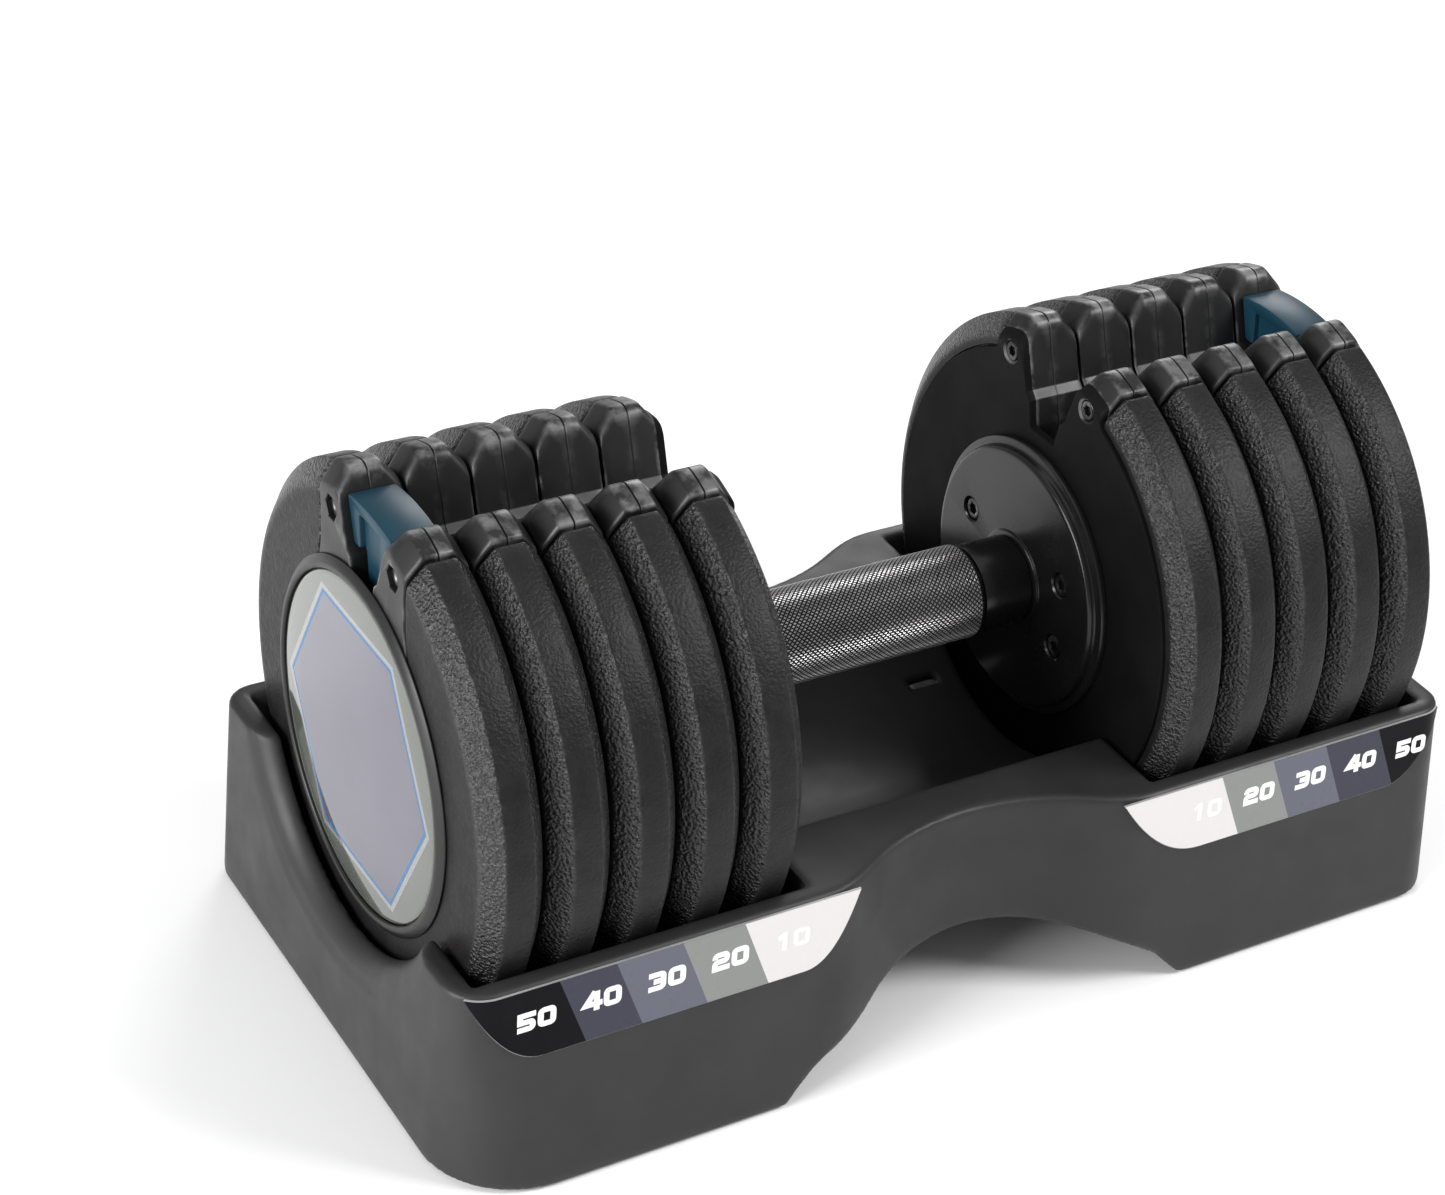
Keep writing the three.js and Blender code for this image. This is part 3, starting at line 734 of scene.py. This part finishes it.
def yoke_shape(x):
    """A bridge between the ears, with a thinner tongue down the middle of it."""
    base, top, hollow = 71, 88, 83.6
    foot_in, foot_out, hollow_in = 6.8, 11.7, 7.8
    leg = np.array([(foot_out, base), (foot_out + 20 / 3, base + 20)], float)
    outer = between_radii(leg, np.hypot(foot_out, base), top, 12)
    inner = np.array([(foot_in, base), (hollow_in, 82.5)], float)
    crown = np.arcsin(hollow_in / hollow)
    sides = [outer, arc(top, angle_of(outer[-1]), -angle_of(outer[-1]), 20), flipped(outer),
             np.array([(-foot_out, base), (-foot_in, base)], float), flipped(inner)[::-1],
             arc(hollow, -crown, crown, 12), inner[::-1],
             np.array([(foot_in, base), (foot_out, base)], float)]
    frame_line = soft_outline(sides, (1.5, 1.5, 1.5, 1.5, .6, .6, 1.5, 1.5), (10, 16, 10, 4, 8, 10, 8, 4))
    tongue = np.array([(4.9, 60), (6.2, 70.5), (7.2, 71.5), (8.4, 84.5)], float)
    tongue_sides = [tongue, arc(84.9, .1, -.1, 8), flipped(tongue), np.array([(-4.9, 60), (4.9, 60)])]
    tongue_line = soft_outline(tongue_sides, (.5, .5, .8, .8), (14, 6, 14, 5))
    w, t = 8.25, 6.3    # half thickness of the bridge and of the tongue
    edge = [(-w, .6), (-w + .18, .2), (-w + .6, 0), (w - .6, 0), (w - .18, .2), (w, .6)]
    shape = Shape().loft([at_x(shrunk(frame_line, e), x + dx) for dx, e in edge])
    inner_edge = [(-t, .4), (-t + .4, 0), (t - .4, 0), (t, .4)]
    return shape.loft([at_x(shrunk(tongue_line, e), x + dx) for dx, e in inner_edge])


for side, turned in SIDES.items():
    yoke = yoke_shape(LAST_X).build(f"yoke_{side}", BLUE, turned=turned)
    place(yoke, f"selector_{side}", "blue_plastic", f"selector_yoke_{side}")


# ---- Tray -------------------------------------------------------------------------------------

TOP, BOTTOM, WALL = 79.0, 1.0, 3.5
TRAY_L, TRAY_W = 202, 107.5             # half length and half width at the floor
WAIST_R, WAIST_FLARE, WAIST_Y = 74.4, 7.9, 159.7
CRADLE_R, CRADLE_IN, CRADLE_OUT = 96.4, 70.3, 191.2     # where the plates rest: radius, and span of x
DECK_R, DECK_OUT = 69, 71.5             # the same for the floor under the grip
NOTCH_R, NOTCH_FLARE, NOTCH_LIP, NOTCH_IN = 82, 11, 8.5, 72     # the opening in each end
ARCH_X, ARCH_H = 82, 32                 # the arch under the middle: half span and height
POST_R, PAD_R, PAD_DEPTH = 12.5, 9.35, 2.95     # the posts over the feet, and the pockets for them
SLOT_X, SLOT_Y, SLOT_LOW, SLOT_HIGH = 54, 32, 30, 75


def tray_plan(z, quadrant):
    """Half length, half width and corner radius at a height. Opposite corners are alike.

    quadrant is the sign of x times y: positive for the front left and back right corners.
    """
    t = z / TOP
    return TRAY_L - 2 * t, TRAY_W - 10 * t, np.where(np.asarray(quadrant) > 0, 34 - 20 * t, 17 - 6 * t)


def both(a, b, soft=0.0):
    """The solid common to a and b, with the edge between them rounded over about soft."""
    if soft <= 0:
        return np.maximum(a, b)
    h = np.clip(soft - np.abs(a - b), 0, None) / soft
    return np.maximum(a, b) + h * h * soft * 0.25


def tray_field(X, Y, Z):
    """About the distance to the tray's surface from each point, below 0 inside the tray."""
    l, w, r = tray_plan(Z, X * Y)
    ax, ay = np.abs(X), np.abs(Y)
    qx, qy = ax - (l - r), ay - (w - r)
    sides = np.hypot(np.maximum(qx, 0), np.maximum(qy, 0)) + np.minimum(np.maximum(qx, qy), 0) - r
    sides *= 0.992      # the walls lean, so they are a little nearer than straight across
    waist = WAIST_R + WAIST_FLARE * Z / TOP - np.hypot(ax, ay - WAIST_Y)
    outer = both(sides, waist, 9.0)
    rho = np.hypot(Y, Z - AXIS_Z)
    cradle = both(rho - CRADLE_R, both(CRADLE_IN - ax, ax - CRADLE_OUT))
    deck = both(rho - DECK_R, ax - DECK_OUT)
    lip = np.clip((ax - l + NOTCH_LIP) / NOTCH_LIP, 0, .999)
    notch = both(rho - (NOTCH_R - NOTCH_FLARE * np.sqrt(1 - lip ** 2)), NOTCH_IN - ax)

    # The arch's curve comes down to the floor on a straight slope.
    arch_top = ARCH_H * np.clip(1 - (ax / ARCH_X) ** 2.0, 0, None) ** 0.72
    arch_top = np.minimum(arch_top, np.clip(1.05 * (ARCH_X + 0.4 - ax), 0, None))
    slope = np.clip(0.9 * ax / ARCH_X, 0, 0.85)
    arch = (Z - arch_top) * np.sqrt(1 - slope ** 2)

    # Underneath, the tray is hollow but for its walls, a shell under cradle and deck, and the posts.
    shell = both(rho - (CRADLE_R + WALL), both(66.8 - ax, ax - 205))
    deck_shell = both(rho - (DECK_R + WALL), ax - CRADLE_IN)
    kept = np.minimum(shell, deck_shell)
    from_foot = np.hypot(ax - FOOT_X, ay - FOOT_Y)
    posts = from_foot - POST_R
    hollow = both(both(outer + WALL, Z - (TOP - WALL)), both(-kept, -posts, 3.0), 3.0)

    solid = both(outer, Z - TOP, 2.2)
    solid = both(solid, -deck, 1.2)
    solid = both(solid, -cradle, 2.0)
    solid = both(solid, -notch, 2.0)
    solid = both(solid, -both(arch, -kept, 1.0), 2.6)
    solid = both(solid, -hollow, 1.2)
    slots = both(both(np.abs(ax - SLOT_X) - 6, np.abs(ay - SLOT_Y) - 1.6), both(SLOT_LOW - Z, Z - SLOT_HIGH))
    solid = both(solid, -slots, 0.8)
    solid = both(solid, -both(from_foot - PAD_R, Z - PAD_DEPTH))
    return both(solid, BOTTOM - Z, 1.0)


def tray():
    """The tray's surface, meshed from its field on a grid of voxels."""
    voxel = 1.25
    reach = 4 * voxel
    xs, ys = (np.arange(-half - 4, half + 4 + voxel, voxel) for half in (TRAY_L, TRAY_W))
    zs = np.arange(-3.0, TOP + 4, voxel)
    X, Y, Z = np.meshgrid(xs, ys, zs, indexing="ij")
    grid = openvdb.FloatGrid(reach)
    grid.copyFromArray(np.clip(tray_field(X, Y, Z), -reach, reach).astype(np.float32))
    points, quads = grid.convertToQuads(isovalue=0.0)
    points = np.asarray(points, float) * voxel + (xs[0], ys[0], zs[0])
    shape = Shape().add(points, np.asarray(quads).tolist())
    return shape.build("tray_shell", TRAY, 40, lift=0)


place(tray(), "tray", "tray_plastic", "tray")


# ---- Labels -----------------------------------------------------------------------------------

def wall_point(u, z, out, s):
    """A point on the tray's front wall, at height z and moved out from it.

    u is the way along the wall from the middle, round the corner; s is -1 on the left, 1 on the right.
    """
    l, w, r = tray_plan(z, -s)
    r = float(r)
    turn = max(0.0, (u - (l - r)) / r)
    straight = min(u, l - r)
    return (s * (straight + (r + out) * math.sin(turn)), -(w - r) - (r + out) * math.cos(turn), z)


LABEL_IN, LABEL_OUT, LABEL_LOW, LABEL_HIGH = 53.6, 197.0, 52.5, 77.9
# How far the lower edge sweeps up at the inner end of each label, and at both outer ends.
SWEEP_IN, SWEEP_OUT = {-1: 22.0, 1: 34.0}, 25
FILM_BACK, FILM_FRONT = -.3, .35
PRINT_MARGIN, PRINT_BACK, PRINT_FRONT = .28, -.1, .6
DIGIT_FRONT, DIGIT_DEPTH, DIGIT_Z = .7, .12, 66.7


def label_shape(s, margin, back, front):
    """A thin film between two ends that sweep up to the top edge."""
    ends = np.linspace(0, 1, 26) ** 2
    us = np.unique(np.concatenate([
        LABEL_IN + margin + SWEEP_IN[s] * ends, np.linspace(88, 170, 44),
        LABEL_OUT - margin - SWEEP_OUT * ends]))
    loops = []
    for u in us:
        t_in = max(0.0, 1 - (u - LABEL_IN - margin) / SWEEP_IN[s])
        t_out = max(0.0, 1 - (LABEL_OUT - margin - u) / SWEEP_OUT)
        lift = min(0.985, max(t_in ** 2.2, t_out ** 2.0))
        low = LABEL_LOW + margin + (LABEL_HIGH - LABEL_LOW - 2 * margin) * lift
        zs = np.linspace(low, LABEL_HIGH - margin, 6)
        fronts = [wall_point(u, z, front, s) for z in zs]
        backs = [wall_point(u, z, back, s) for z in zs[::-1]]
        loops.append(np.array(fronts + backs))
    return Shape().loft(loops)


STROKE_ROUNDING = 0.17


def stroke(path, half, closed=False):
    """The left and right edges of a centre line. Corners are rounded, or sharp at a point of three."""
    centre, normals = [], []

    def add(point, before, after):
        centre.append(point)
        normals.append((before + after) / (1 + before @ after))

    places = [np.array(point[:2], float) for point in path]
    ways = [after - before for before, after in zip(places, places[1:] + places[:1])]
    ways = [np.array((-w[1], w[0])) / np.linalg.norm(w) for w in ways]
    if not closed:
        add(places[0], ways[0], ways[0])
    for i in range(len(path)) if closed else range(1, len(path) - 1):
        n0, n1 = ways[i - 1], ways[i]
        if len(path[i]) == 3:
            add(places[i], n0, n1)
            continue
        for t in np.linspace(0, 1, 6):
            normal = (1 - t) * n0 + t * n1
            normal /= np.linalg.norm(normal)
            d0, d1 = (np.array((n[1], -n[0])) for n in (n0, n1))
            add(places[i] + STROKE_ROUNDING * (t * t * d1 - (1 - t) ** 2 * d0), normal, normal)
    if closed:
        add(centre[0], normals[0], normals[0])
    else:
        add(places[-1], ways[-2], ways[-2])
    centre, normals = np.array(centre), np.array(normals)
    return centre + normals * half, centre - normals * half


# Each glyph is strokes in a unit square, (centre line, closed), along these lines where it can be.
LEFT, RIGHT, LOW, MID, HIGH = .165, .835, .14, .5, .86
GLYPHS = {
    "0": [([(LEFT, LOW), (RIGHT, LOW), (RIGHT, HIGH), (LEFT, HIGH)], True)],
    "1": [([(.22, .70), (.56, .86)], False), ([(.6, 1.0), (.6, 0.0)], False)],
    "2": [([(LEFT, .66), (LEFT, HIGH), (RIGHT, HIGH), (RIGHT, MID), (LEFT, MID), (LEFT, LOW, 0),
            (1.0, LOW)], False)],
    "3": [([(.02, HIGH), (RIGHT, HIGH), (RIGHT, LOW), (.02, LOW)], False), ([(.3, MID), (.8, MID)], False)],
    "4": [([(.62, 1.0), (.14, .35, 0), (1.04, .35)], False), ([(.73, 1.0), (.73, 0.0)], False)],
    "5": [([(.99, HIGH), (LEFT, HIGH, 0), (LEFT, MID, 0), (RIGHT, MID), (RIGHT, LOW), (.02, LOW)], False)],
}
GLYPH_W, GLYPH_H, GLYPH_GAP, GLYPH_LEAN = 6.6, 6.9, 0.6, 0.07
GLYPH_HALF = (0.155, 0.135)     # half a stroke's width, across and up


def number_shape(text, centre, s):
    shape = Shape()
    for i, char in enumerate(text):
        left = centre + (i - len(text) / 2) * (GLYPH_W + GLYPH_GAP) + GLYPH_GAP / 2
        for n, (path, closed) in enumerate(GLYPHS[char]):
            edges = stroke(path, GLYPH_HALF, closed=closed)
            top, base = DIGIT_FRONT + 0.02 * n, DIGIT_FRONT - DIGIT_DEPTH

            def put(point, lift):
                z = DIGIT_Z + (point[1] - .5) * GLYPH_H
                x = left + point[0] * GLYPH_W + (z - DIGIT_Z) * GLYPH_LEAN
                return wall_point(abs(x), z, lift, s)

            loops = [np.array([put(a, top), put(b, top), put(b, base), put(a, base)]) for a, b in zip(*edges)]
            shape.loft(loops, caps=not closed)
    return shape


LABELS = {
    "left": (-1, LABEL_LEFT, ((-173.5, "50"), (-150.2, "40"), (-126.9, "30"), (-103.5, "20"), (-80.2, "10"))),
    "right": (1, LABEL_RIGHT, ((89.2, "10"), (112.6, "20"), (135.9, "30"), (159.3, "40"), (182.6, "50"))),
}
for side, (s, print_paint, numbers) in LABELS.items():
    film = label_shape(s, 0, FILM_BACK, FILM_FRONT).build(f"label_film_{side}", SILVER, lift=0)
    place(film, "tray", "label_film", f"label_{side}")
    print_face = label_shape(s, PRINT_MARGIN, PRINT_BACK, PRINT_FRONT)
    place(print_face.build(f"label_print_{side}", print_paint, lift=0), "tray", "label_film")
    for centre, text in numbers:
        paint = DIGIT_FAINT if text == "10" else DIGIT
        digits = number_shape(text, centre, s).build(f"number_{text}_{side}", paint, lift=0)
        place(digits, "tray", "label_film")


# ---- Feet, and the inner pieces that keep their CAD shape -------------------------------------

# A foot's profile is (radius, z).
FOOT = [(2.5, 2.6), (9, 2.6), (9, .9), (8.7, .3), (8.1, 0), (6.4, 0), (6.1, .35), (5.0, .35), (4.7, 0),
        (2.5, 0)]
for side, sx in (("right", 1), ("left", -1)):
    for depth, sy in (("back", 1), ("front", -1)):
        loops = []
        for r, z in FOOT + FOOT[:1]:
            ring = circle(r, 0, 64)
            across, back = sx * FOOT_X + ring[:, 1], sy * FOOT_Y + ring[:, 2]
            loops.append(np.stack([across, back, np.full(len(ring), z)], 1))
        foot = Shape().loft(loops, caps=False).build(f"rubber_foot_{depth}_{side}", RUBBER, lift=0)
        place(weld(foot), "tray", "rubber", f"foot_{depth}_{side}")

KEPT = {"handle_tube": STEEL, "lock_bar_right": STEEL, "lock_bar_left": STEEL,
        "bar_guide_right": NYLON, "bar_guide_left": NYLON}
for node, material in KEPT.items():
    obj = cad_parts[node]
    for material_slot in obj.material_slots:
        material_slot.material = material


# ---- Stage, light and camera ------------------------------------------------------------------

def floor():
    p = Paint("floor", rough=0.6)
    p.mottle((0.90, 0.90, 0.90), (0.93, 0.93, 0.93), 2.0)
    p.rough(3.0, 0.55, 0.7)
    p.bump(p.noise(60.0), 0.02, 0.001)
    mesh = bpy.data.meshes.new("floor")
    mesh.from_pydata([(-8, -8, 0), (8, -8, 0), (8, 8, 0), (-8, 8, 0)], [], [(0, 1, 2, 3)])
    mesh.materials.append(p.done())
    linked("floor", mesh)


def softbox(name, location, size, power):
    """A square light, in metres and watts, turned to the middle of the object."""
    data = bpy.data.lights.new(name, "AREA")
    data.shape, data.size, data.energy = "SQUARE", size, power
    light = linked(name, data)
    light.location = location
    light.rotation_euler = (Vector((0, 0, 0.1)) - Vector(location)).to_track_quat("-Z", "Y").to_euler()


def studio():
    world = bpy.data.worlds.new("studio")
    world.use_nodes = True
    background = world.node_tree.nodes["Background"]
    background.inputs["Color"].default_value = (1, 1, 1, 1)
    background.inputs["Strength"].default_value = 0.35
    bpy.context.scene.world = world
    bpy.context.scene.view_settings.view_transform = "Standard"
    softbox("left", (-2.0, -0.3, 0.8), 1.2, 62)
    softbox("right", (1.4, -1.2, 1.7), 0.9, 44)
    softbox("back", (1.4, 1.9, 1.2), 1.0, 20)
    softbox("top", (0, 0.1, 2.4), 2.2, 9)


def camera():
    """The camera fitted to the photograph."""
    azimuth, elevation, roll = (math.radians(v) for v in (-34.841, 31.668, 5.603))
    back = Vector((math.sin(azimuth) * math.cos(elevation), -math.cos(azimuth) * math.cos(elevation),
                   math.sin(elevation)))
    level = Vector((math.cos(azimuth), math.sin(azimuth), 0))
    upright = back.cross(level)
    right = math.cos(roll) * level + math.sin(roll) * upright
    up = -math.sin(roll) * level + math.cos(roll) * upright
    data = bpy.data.cameras.new("camera")
    data.sensor_width, data.lens = 36, 82.59
    data.shift_x, data.shift_y = -0.1376, -0.0081
    obj = linked("camera", data)
    turn = Matrix((right, up, back)).transposed().to_4x4()
    obj.matrix_world = Matrix.Translation((-0.5496, -0.8280, 0.7417)) @ turn
    bpy.context.scene.camera = obj


floor()
studio()
camera()
